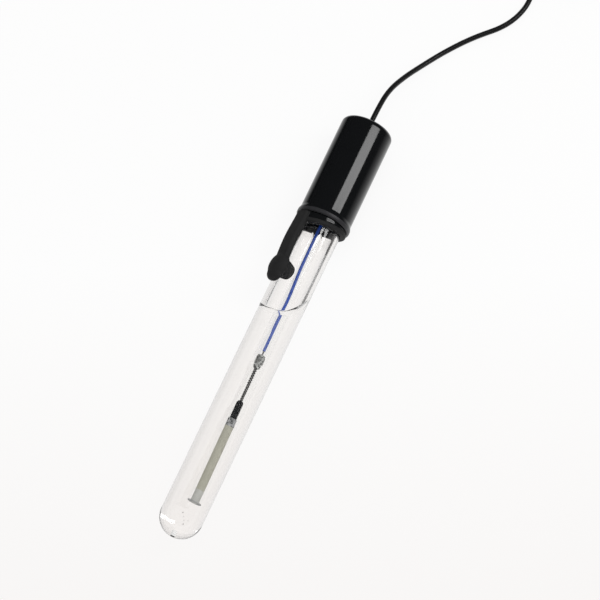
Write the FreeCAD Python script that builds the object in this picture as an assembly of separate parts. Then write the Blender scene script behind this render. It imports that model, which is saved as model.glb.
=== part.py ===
import FreeCAD, Part
import math
import os

# Reference electrode with a glass body, a rubber filler sleeve and a thin black lead.
# It is built upright along its own Z axis, from the glass tip at z = 0 to the top of the cap,
# and is then laid on the floor with its cap towards +Y. Sizes are in millimetres.

# Glass body
BODY_RADIUS = 6.0
BODY_WALL = 1.0
VISIBLE_GLASS = 98.2
SOCKET_DEPTH = 13.8
GLASS_RIM_ROUND = 0.3
FILL_HOLE_Z = 80.5
FILL_HOLE_RADIUS = 2.6
JUNCTION_RADIUS = 0.6
JUNCTION_LENGTH = 2.4

# Inner tube and what fills it, stacked upwards from its open end
TUBE_RADIUS = 1.5
TUBE_WALL = 0.7
TUBE_END_Z = 10.4
TUBE_TOP_ABOVE_BUNG = 2.0
TUBE_LEAN = 0.65
FIBRE_LENGTH = 3.8
ROD_LENGTH = 19.5
BAND_LENGTH = 2.4
SLEEVE_LENGTH = 5.5
SLEEVE_RADIUS = 0.7
STRAND_LENGTH = 9.6
STRAND_RADIUS = 0.22
STRAND_GRIP = 2.0
JOINT_LENGTH = 4.8
JOINT_ROUND = 0.35
BARE_LENGTH = 1.2
BARE_GRIP = 2.0
INSULATION_RADIUS = 0.43
CONDUCTOR_RADIUS = 0.2
BORE_CLEARANCE = 0.01
WIRE_SWAY = 0.28

# Bung that closes the glass under the cap
BUNG_LENGTH = 5.6
BUNG_ABOVE_MOUTH = 0.2

# Electrolyte and the air left above it while the electrode lies down
LIQUID_CLEARANCE = 0.02
AIR_NOSE_Z = 68.0
AIR_DEPTH = 5.4
AIR_NOSE_ROUND = 3.4

# Cap
CAP_RADIUS = 7.5
CAP_LENGTH = 31.8
CAP_TOP_WALL = 3.0
CAP_TOP_ROUND = 1.5
CAP_RING_RADIUS = 7.85
CAP_RING_HEIGHT = 1.1
CAP_RING_FLARE = 1.2
CAP_RING_ROUND = 0.5
CAP_CHAMBER_RADIUS = 5.2
SOCKET_CLEARANCE = 0.05
POTTING_CLEARANCE = 0.02

# Splice inside the cap
SPLICE_GAP = 4.0
FERRULE_RADIUS = 0.75
FERRULE_LENGTH = 5.0
CRIMP_CLEARANCE = 0.01
SHRINK_WALL = 0.25
SHRINK_OVERLAP = 2.0
CORE_RADIUS = 0.35
RETAINER_RADIUS = 2.4
RETAINER_LENGTH = 2.2
GROMMET_RADIUS = 1.7
GROMMET_FLANGE_RADIUS = 2.6
GROMMET_FLANGE = 0.8

# Rubber filler sleeve: collar, strap and stopper
NECK_RADIUS = 7.1
FLANGE_RADIUS = 7.45
FLANGE_THICKNESS = 1.2
FLANGE_ROUND = 0.45
FLANGE_BELOW_MOUTH = 1.6
FLANGE_TILT = 7.5
RUBBER_CLEARANCE = 0.02
STOPPER_FROM_TOP = 47.0
STRAP_WIDTH = 4.2
STRAP_THICKNESS = 1.6
STRAP_STANDOFF = 0.2
HINGE_GAP = 0.15
HEAD_LENGTH = 7.6
HEAD_WIDTH = 6.8
HEAD_THICKNESS = 3.8
HEAD_STANDOFF = 0.15
TAB_LENGTH = 5.0
TAB_WIDTH = 5.2
TAB_THICKNESS = 3.0
TAB_DROP = 2.2
NUB_CLEARANCE = 0.1
NUB_END_RADIUS = 2.0
NUB_REACH = 1.9
NUB_END_ROUND = 0.4

# Lead, its coil and the ties round the coil
LEAD_RADIUS = 0.75
LEAD_CLEARANCE = 0.02
COIL_RADIUS = 8.7
COIL_LAYERS = 4
COIL_RINGS = 4
COIL_ROUND = 0.7
TIE_THICKNESS = 0.4
TIE_WIDTH = 2.4
TIE_CLEARANCE = 0.05
LEAD_IN_CAP = 6.0
LEAD_STRAIGHT_OUT = 6.5

# Pin plug on the lead's far end
PLUG_PIN_RADIUS = 1.0
PLUG_PIN_LENGTH = 13.0
PLUG_PIN_ROUND = 0.6
PLUG_TAIL_RADIUS = 1.3
PLUG_TAIL_LENGTH = 6.0
HANDLE_RADIUS = 3.25
HANDLE_LENGTH = 18.0
HANDLE_ROUND = 0.8
HANDLE_GROOVES = 5
HANDLE_GROOVE_DEPTH = 0.35
HANDLE_GROOVE_WIDTH = 0.8
HANDLE_GROOVE_PITCH = 1.8
BOOT_RADIUS = 1.9
BOOT_END_RADIUS = 1.25
BOOT_LENGTH = 6.0
BOOT_GRIP = 2.0
LEAD_IN_PLUG = 4.5

# The lead's route on the floor, chosen by hand, from the cap to the coil
LEAD_POINTS = [
    (0.2, 78.8, 6.7),
    (2.1, 85.8, 3.9),
    (5.1, 92.6, 1.6),
    (9.0, 99.5, 0.75),
    (14.6, 106.9, 0.75),
    (21.5, 113.7, 0.75),
    (24.6, 121.2, 0.75),
    (24.3, 128.0, 0.85),
    (21.9, 134.4, 1.15),
]
# The lead's two runs from the coil to the plug, and the turn between them in degrees
TAIL_RUN = 10.0
TAIL_TURN = 74.0

# Places worked out from the sizes above
bore_radius = BODY_RADIUS - BODY_WALL
cap_mouth_z = VISIBLE_GLASS
glass_top_z = cap_mouth_z + SOCKET_DEPTH
chamber_z = glass_top_z + 2 * SOCKET_CLEARANCE
cap_top_z = cap_mouth_z + CAP_LENGTH
chamber_top_z = cap_top_z - CAP_TOP_WALL
bung_z = cap_mouth_z + BUNG_ABOVE_MOUTH
bung_top_z = bung_z + BUNG_LENGTH
tube_top_z = bung_top_z + TUBE_TOP_ABOVE_BUNG
tube_bore = TUBE_RADIUS - TUBE_WALL
fill_radius = tube_bore - BORE_CLEARANCE
rod_z = TUBE_END_Z + FIBRE_LENGTH
band_z = rod_z + ROD_LENGTH
sleeve_z = band_z + BAND_LENGTH
sleeve_top_z = sleeve_z + SLEEVE_LENGTH
joint_z = sleeve_top_z + STRAND_LENGTH
joint_top_z = joint_z + JOINT_LENGTH
insulation_z = joint_top_z + BARE_LENGTH
ferrule_z = chamber_z + SPLICE_GAP
ferrule_top_z = ferrule_z + FERRULE_LENGTH
ferrule_middle_z = ferrule_z + FERRULE_LENGTH / 2
lead_end_z = cap_top_z - LEAD_IN_CAP
flange_middle_z = cap_mouth_z - FLANGE_BELOW_MOUTH
flange_dip = FLANGE_RADIUS * math.sin(math.radians(FLANGE_TILT))
flange_low_z = flange_middle_z - flange_dip - FLANGE_THICKNESS / 2
strap_middle = BODY_RADIUS + STRAP_STANDOFF + STRAP_THICKNESS / 2
hinge_z = flange_low_z - HINGE_GAP - STRAP_THICKNESS / 2
ring_rest_z = cap_mouth_z + (CAP_RING_HEIGHT + CAP_RING_ROUND) / 2
rest_tilt = math.degrees(math.asin((CAP_RING_RADIUS - BODY_RADIUS) / (ring_rest_z - BODY_RADIUS)))
tip_height = BODY_RADIUS - BODY_RADIUS * math.sin(math.radians(rest_tilt))
tip_y = -cap_top_z / 2
lead_diameter = 2 * LEAD_RADIUS
coil_inner = COIL_RADIUS - COIL_RINGS * LEAD_RADIUS
coil_outer = COIL_RADIUS + COIL_RINGS * LEAD_RADIUS
coil_height = COIL_LAYERS * lead_diameter


def vec(x, y, z):
    return FreeCAD.Vector(x, y, z)


def rod(radius, z, top):
    """A round bar along Z from z to top."""
    return Part.makeCylinder(radius, top - z, vec(0, 0, z))


def ring(outer, inner, z, top):
    """A round tube along Z from z to top."""
    return rod(outer, z, top).cut(rod(inner, z - 1, top + 1))


def round_rims(shape, radius, z, fillet):
    """Round the circular edges of this radius at this height."""
    rims = [e for e in shape.Edges if is_rim(e, radius, z)]
    return shape.makeFillet(fillet, rims)


def is_rim(edge, radius, z):
    if edge.Degenerated or not isinstance(edge.Curve, Part.Circle):
        return False
    same_size = abs(edge.Curve.Radius - radius) < 1e-4
    return same_size and abs(edge.Curve.Center.z - z) < 1e-4


def soft_disc(radius, z, top, fillet):
    """A round bar with both rims rounded."""
    return round_rims(round_rims(rod(radius, z, top), radius, z, fillet), radius, top, fillet)


def ellipsoid(length, width, thickness, x, z):
    """A full oval body: thickness along X, width along Y, length along Z."""
    stretch = FreeCAD.Matrix()
    stretch.scale(thickness / 2, width / 2, length / 2)
    oval = Part.makeSphere(1.0).transformGeometry(stretch)
    oval.translate(vec(x, 0, z))
    return oval


def bent_path(points, name):
    """Straight runs joined by tangent arcs, as large as the two runs allow."""
    edges = []
    radii = []
    start = points[0]
    for before, corner, after in zip(points, points[1:], points[2:]):
        arrive = corner.sub(before)
        leave = after.sub(corner)
        half_turn = arrive.getAngle(leave) / 2
        setback = 0.45 * min(arrive.Length, leave.Length)
        radius = setback / math.tan(half_turn)
        arrive.normalize()
        leave.normalize()
        arc_start = corner.sub(arrive.multiply(setback))
        arc_end = corner.add(leave.multiply(setback))
        inward = arc_start.add(arc_end).multiply(0.5).sub(corner)
        inward.normalize()
        middle = corner.add(inward.multiply(radius / math.cos(half_turn) - radius))
        edges.append(Part.LineSegment(start, arc_start).toShape())
        edges.append(Part.Arc(arc_start, middle, arc_end).toShape())
        radii.append(round(radius, 1))
        start = arc_end
    edges.append(Part.LineSegment(start, points[-1]).toShape())
    print(name, "bend radii", radii)
    return Part.Wire(edges)


def swept_rod(path, radius):
    """A round bar along a path."""
    first = path.Edges[0]
    start = first.valueAt(first.FirstParameter)
    heading = first.tangentAt(first.FirstParameter)
    face = Part.Face(Part.Wire(Part.makeCircle(radius, start, heading)))
    return path.makePipe(face)


def lean(shape):
    """Lean the inner tube and its filling about the bung's lower face, tip end towards +X."""
    leant = shape.copy()
    leant.rotate(vec(0, 0, bung_z), vec(0, 1, 0), -TUBE_LEAN)
    return leant


def to_stopper_side(shape):
    """Turn what was built on +X to the side of the fill hole, up and towards -X."""
    turned = shape.copy()
    turned.rotate(vec(0, 0, 0), vec(0, 0, 1), 270.0 - STOPPER_FROM_TOP)
    return turned


def laid(shape):
    """Lay the upright electrode on its collar and its tip, with the cap towards +Y."""
    lying = shape.copy()
    lying.rotate(vec(0, 0, 0), vec(1, 0, 0), rest_tilt - 90.0)
    lying.translate(vec(0, tip_y, tip_height))
    return lying


def axis_point(z):
    """The place on the laid axis at this height above the tip."""
    tilt = math.radians(rest_tilt)
    return vec(0, tip_y + z * math.cos(tilt), tip_height + z * math.sin(tilt))


def closed_tube(radius, top):
    """The outline of a round-ended tube, filled."""
    return rod(radius, BODY_RADIUS, top).fuse(Part.makeSphere(radius, vec(0, 0, BODY_RADIUS)))


def glass_body():
    body = closed_tube(BODY_RADIUS, glass_top_z).removeSplitter()
    body = body.cut(closed_tube(bore_radius, glass_top_z + 1).removeSplitter())
    body = round_rims(body, BODY_RADIUS, glass_top_z, GLASS_RIM_ROUND)
    body = round_rims(body, bore_radius, glass_top_z, GLASS_RIM_ROUND)
    body = body.cut(rod(JUNCTION_RADIUS + BORE_CLEARANCE, -1, 2 * BODY_WALL))
    hole = Part.makeCylinder(FILL_HOLE_RADIUS, 2 * BODY_RADIUS, vec(0, 0, FILL_HOLE_Z), vec(1, 0, 0))
    return body.cut(to_stopper_side(hole))


def ceramic_junction():
    plug = rod(JUNCTION_RADIUS, 0, JUNCTION_LENGTH)
    return plug.common(Part.makeSphere(BODY_RADIUS, vec(0, 0, BODY_RADIUS)))


def inner_tube():
    return lean(ring(TUBE_RADIUS, tube_bore, TUBE_END_Z, tube_top_z))


def fibre_plug():
    return lean(rod(fill_radius, TUBE_END_Z, rod_z))


def element_rod():
    return lean(rod(fill_radius, rod_z, band_z))


def contact_band():
    return lean(rod(fill_radius, band_z, sleeve_z))


def contact_strand():
    return lean(rod(STRAND_RADIUS, sleeve_top_z - STRAND_GRIP, joint_z + STRAND_GRIP))


def seal_sleeve():
    bullet = rod(SLEEVE_RADIUS, sleeve_z, sleeve_top_z)
    bullet = round_rims(bullet, SLEEVE_RADIUS, sleeve_top_z, 0.9 * SLEEVE_RADIUS)
    hole = rod(STRAND_RADIUS + CRIMP_CLEARANCE, sleeve_top_z - STRAND_GRIP, sleeve_top_z + 1)
    return lean(bullet.cut(hole))


def solder_joint():
    joint = soft_disc(fill_radius, joint_z, joint_top_z, JOINT_ROUND)
    joint = joint.cut(rod(STRAND_RADIUS + CRIMP_CLEARANCE, joint_z - 1, joint_z + STRAND_GRIP))
    top_hole = rod(CONDUCTOR_RADIUS + CRIMP_CLEARANCE, joint_top_z - BARE_GRIP, joint_top_z + 1)
    return lean(joint.cut(top_hole))


def wire_path(start_z, end_z, name):
    """The inner lead's gently wandering line, from start_z up to end_z."""
    line = [
        vec(0, 0, start_z),
        vec(0, 0, insulation_z + 4),
        vec(-0.3 * WIRE_SWAY, 0, AIR_NOSE_Z - 1.5),
        vec(WIRE_SWAY, 0, AIR_NOSE_Z + 5),
        vec(0, 0, AIR_NOSE_Z + 11),
        vec(-WIRE_SWAY, 0, AIR_NOSE_Z + 15.5),
        vec(-WIRE_SWAY, 0.02, bung_z),
        vec(0, 0, tube_top_z + 2),
        vec(0, 0.02, end_z),
    ]
    return bent_path(line, name)


def lead_conductor():
    path = wire_path(joint_top_z - BARE_GRIP, ferrule_middle_z, "conductor")
    return lean(swept_rod(path, CONDUCTOR_RADIUS))


def lead_insulation():
    outside_path = wire_path(insulation_z, ferrule_z - CRIMP_CLEARANCE, "insulation")
    inside_path = wire_path(insulation_z - 1, ferrule_z + 1, "insulation bore")
    inside = swept_rod(inside_path, CONDUCTOR_RADIUS + CRIMP_CLEARANCE)
    return lean(swept_rod(outside_path, INSULATION_RADIUS).cut(inside))


def sealing_bung():
    bung = rod(bore_radius - POTTING_CLEARANCE, bung_z, bung_top_z)
    return bung.cut(lean(rod(TUBE_RADIUS + POTTING_CLEARANCE, bung_z - 5, bung_top_z + 5)))


def cap_potting(wire):
    """Resin between the bung and the top of the glass, round the tube's end and the wire."""
    resin = rod(bore_radius - POTTING_CLEARANCE, bung_top_z + POTTING_CLEARANCE, glass_top_z)
    tube = lean(rod(TUBE_RADIUS + POTTING_CLEARANCE, bung_top_z - 1, tube_top_z + POTTING_CLEARANCE))
    return resin.cut(tube).cut(wire)


def air_pocket():
    """Air on the upper side (-Y) at the cap end, with a round-cornered nose and a level floor."""
    width = 2 * bore_radius
    length = bung_z - AIR_NOSE_Z
    pocket = Part.makeBox(width, width, length, vec(-bore_radius, -width, AIR_NOSE_Z))
    corners = [e for e in pocket.Edges if is_nose_corner(e)]
    pocket = pocket.makeFillet(AIR_NOSE_ROUND, corners)
    pocket.translate(vec(0, AIR_DEPTH - bore_radius, 0))
    pocket.rotate(vec(0, 0, AIR_NOSE_Z), vec(1, 0, 0), -rest_tilt)
    return pocket


def is_nose_corner(edge):
    """An edge of the pocket's block that runs along Y at the nose."""
    low, high = [vertex.Point for vertex in edge.Vertexes]
    return abs(low.z - AIR_NOSE_Z) < 1e-6 and abs(high.y - low.y) > bore_radius


def electrolyte(strand):
    """Liquid round the inner tube, and the short column round the strand in its bore."""
    top = bung_z - LIQUID_CLEARANCE
    around = closed_tube(bore_radius - LIQUID_CLEARANCE, top).removeSplitter()
    tube_hole = rod(TUBE_RADIUS + LIQUID_CLEARANCE, TUBE_END_Z - LIQUID_CLEARANCE, bung_top_z)
    around = around.cut(lean(tube_hole))
    around = around.cut(rod(JUNCTION_RADIUS + LIQUID_CLEARANCE, 0, JUNCTION_LENGTH + LIQUID_CLEARANCE))
    around = around.cut(air_pocket())
    lower = rod(fill_radius, sleeve_top_z + LIQUID_CLEARANCE, joint_z - LIQUID_CLEARANCE)
    return Part.makeCompound([around, lean(lower).cut(strand)])


def cap():
    """Cap with a ring round its mouth that flares out of the side."""
    outside = rod(CAP_RADIUS, cap_mouth_z, cap_top_z)
    outside = round_rims(outside, CAP_RADIUS, cap_top_z, CAP_TOP_ROUND)
    ring_top_z = cap_mouth_z + CAP_RING_HEIGHT
    band = rod(CAP_RING_RADIUS, cap_mouth_z, ring_top_z)
    band = round_rims(band, CAP_RING_RADIUS, cap_mouth_z, CAP_RING_ROUND)
    flare = Part.makeCone(CAP_RING_RADIUS, CAP_RADIUS, CAP_RING_FLARE, vec(0, 0, ring_top_z))
    outside = outside.fuse(band).fuse(flare)
    socket = rod(BODY_RADIUS + SOCKET_CLEARANCE, cap_mouth_z - 1, chamber_z)
    chamber = rod(CAP_CHAMBER_RADIUS, chamber_z - 1, chamber_top_z)
    hole = rod(GROMMET_RADIUS + SOCKET_CLEARANCE, chamber_top_z - 1, cap_top_z + 1)
    return outside.cut(socket).cut(chamber).cut(hole)


def cable_grommet():
    """Rubber bush in the cap's top, with its flange against the inside."""
    bush = rod(GROMMET_RADIUS, chamber_top_z - GROMMET_FLANGE, cap_top_z)
    bush = bush.fuse(rod(GROMMET_FLANGE_RADIUS, chamber_top_z - GROMMET_FLANGE, chamber_top_z))
    return bush.cut(rod(LEAD_RADIUS + LEAD_CLEARANCE, chamber_top_z - 5, cap_top_z + 1))


def cable_retainer():
    """Crimped stop on the lead, under the grommet."""
    top = chamber_top_z - GROMMET_FLANGE
    stop = ring(RETAINER_RADIUS, LEAD_RADIUS + LEAD_CLEARANCE, top - RETAINER_LENGTH, top)
    stop = round_rims(stop, RETAINER_RADIUS, top, 3 * SHRINK_WALL)
    return round_rims(stop, RETAINER_RADIUS, top - RETAINER_LENGTH, 3 * SHRINK_WALL)


def splice_ferrule(wire_core):
    """Crimp barrel that joins the inner lead to the outer one."""
    barrel = rod(FERRULE_RADIUS, ferrule_z, ferrule_top_z)
    barrel = barrel.cut(rod(CORE_RADIUS + CRIMP_CLEARANCE, ferrule_middle_z, ferrule_top_z + 1))
    return barrel.cut(wire_core)


def cable_core():
    """Bare strands of the outer lead, from the barrel to the lead's cut end."""
    return rod(CORE_RADIUS, ferrule_middle_z + CRIMP_CLEARANCE, lead_end_z)


def splice_sleeve():
    inner = FERRULE_RADIUS + CRIMP_CLEARANCE
    return ring(inner + SHRINK_WALL, inner, ferrule_z - SHRINK_OVERLAP, ferrule_top_z)


def filler_collar():
    """Rubber sleeve under the cap: a neck, and a flange that the strap pulls down on its side."""
    inner = BODY_RADIUS + RUBBER_CLEARANCE
    half = FLANGE_THICKNESS / 2
    flange = askew(soft_disc(FLANGE_RADIUS, -half, half, FLANGE_ROUND))
    over_flange = askew(rod(2 * FLANGE_RADIUS, 0, 2 * FLANGE_RADIUS))
    neck = rod(NECK_RADIUS, flange_low_z, cap_mouth_z).common(over_flange)
    depth = STRAP_STANDOFF + STRAP_THICKNESS
    height = cap_mouth_z - flange_low_z
    root = Part.makeBox(depth, STRAP_WIDTH, height, vec(BODY_RADIUS, -STRAP_WIDTH / 2, flange_low_z))
    body = flange.fuse(neck).fuse(to_stopper_side(root))
    return body.cut(rod(inner, flange_low_z - 1, cap_mouth_z + 1))


def askew(shape):
    """Tilt a shape built about the origin down towards the strap, at the flange's height."""
    tilted = shape.copy()
    tilted.rotate(vec(0, 0, 0), vec(0, 1, 0), FLANGE_TILT)
    tilted.translate(vec(0, 0, flange_middle_z))
    return to_stopper_side(tilted)


def filler_stopper():
    """Strap, grip head and the nub that plugs the fill hole, as one moulded piece."""
    inner = BODY_RADIUS + STRAP_STANDOFF
    corner = vec(inner, -STRAP_WIDTH / 2, FILL_HOLE_Z)
    strap = Part.makeBox(STRAP_THICKNESS, STRAP_WIDTH, hinge_z - FILL_HOLE_Z, corner)
    knuckle_base = vec(strap_middle, -STRAP_WIDTH / 2, hinge_z)
    knuckle = Part.makeCylinder(STRAP_THICKNESS / 2, STRAP_WIDTH, knuckle_base, vec(0, 1, 0))
    head = ellipsoid(HEAD_LENGTH, HEAD_WIDTH, HEAD_THICKNESS, strap_middle, FILL_HOLE_Z)
    tab = ellipsoid(TAB_LENGTH, TAB_WIDTH, TAB_THICKNESS, strap_middle, FILL_HOLE_Z - TAB_DROP)
    grip = strap.fuse(knuckle).fuse(head).fuse(tab)
    grip = grip.cut(rod(BODY_RADIUS + HEAD_STANDOFF, 0, cap_mouth_z))
    return to_stopper_side(grip.fuse(nub()))


def nub():
    """Tapered plug from inside the strap to its rounded end in the fill hole."""
    root_radius = FILL_HOLE_RADIUS - NUB_CLEARANCE
    end_x = bore_radius - NUB_REACH
    taper = Part.makeCone(NUB_END_RADIUS, root_radius, BODY_RADIUS - end_x, vec(0, 0, end_x))
    taper = round_rims(taper, NUB_END_RADIUS, end_x, NUB_END_ROUND)
    upright = taper.fuse(rod(root_radius, BODY_RADIUS, strap_middle))
    upright.rotate(vec(0, 0, 0), vec(0, 1, 0), 90)
    upright.translate(vec(0, 0, FILL_HOLE_Z))
    return upright


def lead_entry():
    """The stretch of the lead that the cap holds."""
    return rod(LEAD_RADIUS, lead_end_z, cap_top_z)


def lead_points():
    """The route from the cap's top to the coil: straight out, then as chosen."""
    start = axis_point(cap_top_z)
    return [start, axis_point(cap_top_z + LEAD_STRAIGHT_OUT)] + [vec(*point) for point in LEAD_POINTS]


def coil_frame():
    """Centre of the coil and the heading at which the lead meets it, both on the floor."""
    before, end = lead_points()[-2:]
    heading = vec(end.x - before.x, end.y - before.y, 0)
    heading.normalize()
    across = vec(heading.y, -heading.x, 0)
    into = math.sqrt(coil_outer ** 2 - COIL_RADIUS ** 2)
    centre = end.add(vec(*heading).multiply(into)).add(vec(*across).multiply(COIL_RADIUS))
    return vec(centre.x, centre.y, 0), heading, across


def coil_at(radius_in, radius_out, height, z):
    centre = coil_frame()[0]
    outer = Part.makeCylinder(radius_out, height, vec(centre.x, centre.y, z))
    return outer.cut(Part.makeCylinder(radius_in, height + 2, vec(centre.x, centre.y, z - 1)))


def lead_coil():
    coil = coil_at(coil_inner, coil_outer, coil_height, TIE_THICKNESS + TIE_CLEARANCE)
    rims = [e for e in coil.Edges if isinstance(e.Curve, Part.Circle)]
    return coil.makeFillet(COIL_ROUND, rims)


def coil_ties():
    """Two flat loops round the bundle of turns, on opposite sides, with the coil resting on them."""
    centre, heading, across = coil_frame()
    gap = TIE_CLEARANCE
    band = coil_at(coil_inner - gap - TIE_THICKNESS, coil_outer + gap + TIE_THICKNESS,
                   coil_height + 2 * (gap + TIE_THICKNESS), 0)
    band = band.cut(coil_at(coil_inner - gap, coil_outer + gap, coil_height + 2 * gap, TIE_THICKNESS))
    reach = coil_outer + 2 * TIE_THICKNESS
    strip = Part.makeBox(2 * reach, TIE_WIDTH, 2 * coil_height, vec(-reach, -TIE_WIDTH / 2, -1))
    strip.rotate(vec(0, 0, 0), vec(0, 0, 1), math.degrees(math.atan2(across.y, across.x)) - 45)
    strip.translate(centre)
    return Part.makeCompound(band.common(strip).Solids)


def lead_cable():
    path = bent_path(lead_points(), "lead")
    tube = swept_rod(path, LEAD_RADIUS)
    print("lead tube volume", round(tube.Volume, 2), "section by length",
          round(math.pi * LEAD_RADIUS ** 2 * path.Length, 2), "length", round(path.Length, 1))
    return tube.cut(lead_coil())


def tail_points():
    """Out of the coil's near side on its top layer, then down to the plug's level."""
    centre, heading, across = coil_frame()
    top = TIE_THICKNESS + TIE_CLEARANCE + coil_height - LEAD_RADIUS
    into = math.sqrt(coil_outer ** 2 - COIL_RADIUS ** 2)
    start = centre.sub(vec(*heading).multiply(COIL_RADIUS)).sub(vec(*across).multiply(into))
    bend = start.sub(vec(*across).multiply(TAIL_RUN))
    plug_angle = math.atan2(-across.y, -across.x) - math.radians(TAIL_TURN)
    plug_heading = vec(math.cos(plug_angle), math.sin(plug_angle), 0)
    end = bend.add(plug_heading.multiply(TAIL_RUN))
    level = HANDLE_RADIUS
    return [vec(start.x, start.y, top), vec(bend.x, bend.y, level), vec(end.x, end.y, level)]


def lead_tail():
    path = bent_path(tail_points(), "tail")
    print("tail length", round(path.Length, 1))
    return swept_rod(path, LEAD_RADIUS).cut(lead_coil())


def at_plug(shape):
    """Put a plug piece, built along +Z from the boot's mouth, on the lead's far end."""
    bend, end = tail_points()[1:]
    heading = end.sub(bend)
    heading.normalize()
    placed = shape.copy()
    placed.rotate(vec(0, 0, 0), vec(0, 1, 0), 90)
    placed.rotate(vec(0, 0, 0), vec(0, 0, 1), math.degrees(math.atan2(heading.y, heading.x)))
    placed.translate(end.sub(vec(*heading).multiply(LEAD_IN_PLUG)))
    return placed


def plug_boot():
    """Flexible sleeve that carries the lead into the handle."""
    cone = Part.makeCone(BOOT_END_RADIUS, BOOT_RADIUS, BOOT_LENGTH)
    boot = cone.fuse(rod(BOOT_RADIUS, BOOT_LENGTH, BOOT_LENGTH + BOOT_GRIP))
    return at_plug(boot.cut(rod(LEAD_RADIUS + LEAD_CLEARANCE, -1, LEAD_IN_PLUG)))


def plug_handle():
    low, high = BOOT_LENGTH, BOOT_LENGTH + HANDLE_LENGTH
    handle = soft_disc(HANDLE_RADIUS, low, high, HANDLE_ROUND)
    first = (low + high - (HANDLE_GROOVES - 1) * HANDLE_GROOVE_PITCH - HANDLE_GROOVE_WIDTH) / 2
    for index in range(HANDLE_GROOVES):
        z = first + index * HANDLE_GROOVE_PITCH
        inner = HANDLE_RADIUS - HANDLE_GROOVE_DEPTH
        handle = handle.cut(ring(HANDLE_RADIUS + 1, inner, z, z + HANDLE_GROOVE_WIDTH))
    handle = handle.cut(rod(BOOT_RADIUS + LEAD_CLEARANCE, low - 1, low + BOOT_GRIP))
    tail = rod(PLUG_TAIL_RADIUS + LEAD_CLEARANCE, high - PLUG_TAIL_LENGTH, high + 1)
    return at_plug(handle.cut(tail))


def plug_pin():
    """Contact pin with a thicker tail pressed into the handle."""
    front = BOOT_LENGTH + HANDLE_LENGTH
    pin = rod(PLUG_PIN_RADIUS, front, front + PLUG_PIN_LENGTH)
    pin = round_rims(pin, PLUG_PIN_RADIUS, front + PLUG_PIN_LENGTH, PLUG_PIN_ROUND)
    return at_plug(pin.fuse(rod(PLUG_TAIL_RADIUS, front - PLUG_TAIL_LENGTH, front)))


def all_pieces():
    """Every piece by its name: the electrode's are laid, the lead's are already in place."""
    wire_line = wire_path(joint_top_z - BARE_GRIP, ferrule_middle_z, "clearance")
    wire = lean(swept_rod(wire_line, INSULATION_RADIUS + CRIMP_CLEARANCE))
    core = lean(swept_rod(wire_line, CONDUCTOR_RADIUS + CRIMP_CLEARANCE))
    strand = lean(rod(STRAND_RADIUS + CRIMP_CLEARANCE, sleeve_z, joint_top_z))
    upright = {
        "glass_body": glass_body(),
        "ceramic_junction": ceramic_junction(),
        "electrolyte": electrolyte(strand),
        "inner_tube": inner_tube(),
        "fibre_plug": fibre_plug(),
        "element_rod": element_rod(),
        "contact_band": contact_band(),
        "seal_sleeve": seal_sleeve(),
        "contact_strand": contact_strand(),
        "solder_joint": solder_joint(),
        "lead_conductor": lead_conductor(),
        "lead_insulation": lead_insulation(),
        "sealing_bung": sealing_bung(),
        "cap_potting": cap_potting(wire),
        "cap": cap(),
        "cable_grommet": cable_grommet(),
        "cable_retainer": cable_retainer(),
        "splice_ferrule": splice_ferrule(core),
        "splice_sleeve": splice_sleeve(),
        "cable_core": cable_core(),
        "lead_entry": lead_entry(),
        "filler_collar": filler_collar(),
        "filler_stopper": filler_stopper(),
    }
    pieces = {name: laid(shape) for name, shape in upright.items()}
    pieces["lead_cable"] = lead_cable()
    pieces["lead_coil"] = lead_coil()
    pieces["coil_ties"] = coil_ties()
    pieces["lead_tail"] = lead_tail()
    pieces["plug_boot"] = plug_boot()
    pieces["plug_handle"] = plug_handle()
    pieces["plug_pin"] = plug_pin()
    return pieces


os.makedirs("parts", exist_ok=True)
for name, shape in all_pieces().items():
    if not shape.isValid():
        raise ValueError(name + " is not a valid solid")
    shape.exportStep(os.path.join("parts", name + ".step"))
    print(name, "solids", len(shape.Solids), "volume", round(shape.Volume, 2))
print("rest tilt", round(rest_tilt, 3), "hinge", laid(Part.Vertex(0, 0, hinge_z)).Point)
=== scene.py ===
import math

import bmesh
import bpy
from mathutils import Matrix, Vector


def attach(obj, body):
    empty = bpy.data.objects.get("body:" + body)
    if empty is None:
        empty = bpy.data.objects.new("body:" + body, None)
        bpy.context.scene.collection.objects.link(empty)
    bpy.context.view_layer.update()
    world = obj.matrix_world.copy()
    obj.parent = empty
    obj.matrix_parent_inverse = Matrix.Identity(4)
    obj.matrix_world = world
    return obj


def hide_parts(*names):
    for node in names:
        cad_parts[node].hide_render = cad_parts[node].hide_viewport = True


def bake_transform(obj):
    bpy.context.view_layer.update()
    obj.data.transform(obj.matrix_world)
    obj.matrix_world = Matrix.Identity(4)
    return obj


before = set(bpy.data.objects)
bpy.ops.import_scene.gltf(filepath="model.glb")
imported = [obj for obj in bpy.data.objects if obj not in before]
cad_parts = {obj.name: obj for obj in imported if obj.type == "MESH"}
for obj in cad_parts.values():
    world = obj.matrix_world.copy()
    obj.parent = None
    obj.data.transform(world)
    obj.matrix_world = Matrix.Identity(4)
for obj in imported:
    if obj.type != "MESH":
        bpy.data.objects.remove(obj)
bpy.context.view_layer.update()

bl_info = {
    "name": "Reference electrode",
    "version": (1, 0, 0),
    "blender": (4, 5, 0),
    "location": "3D View > Sidebar > Electrode",
    "description": "Builds a glass reference electrode with its filler sleeve, lead and plug",
    "category": "Object",
}

# The electrode is modelled upright in millimetres, from the glass tip at z = 0 to the cap's top,
# and its pieces are then laid on the floor with the cap towards +Y. Angles are in degrees.
MILLIMETRE = 0.001
LATHE_STEPS = 96
INNER_STEPS = 48
ARC_STEPS = 12

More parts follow.
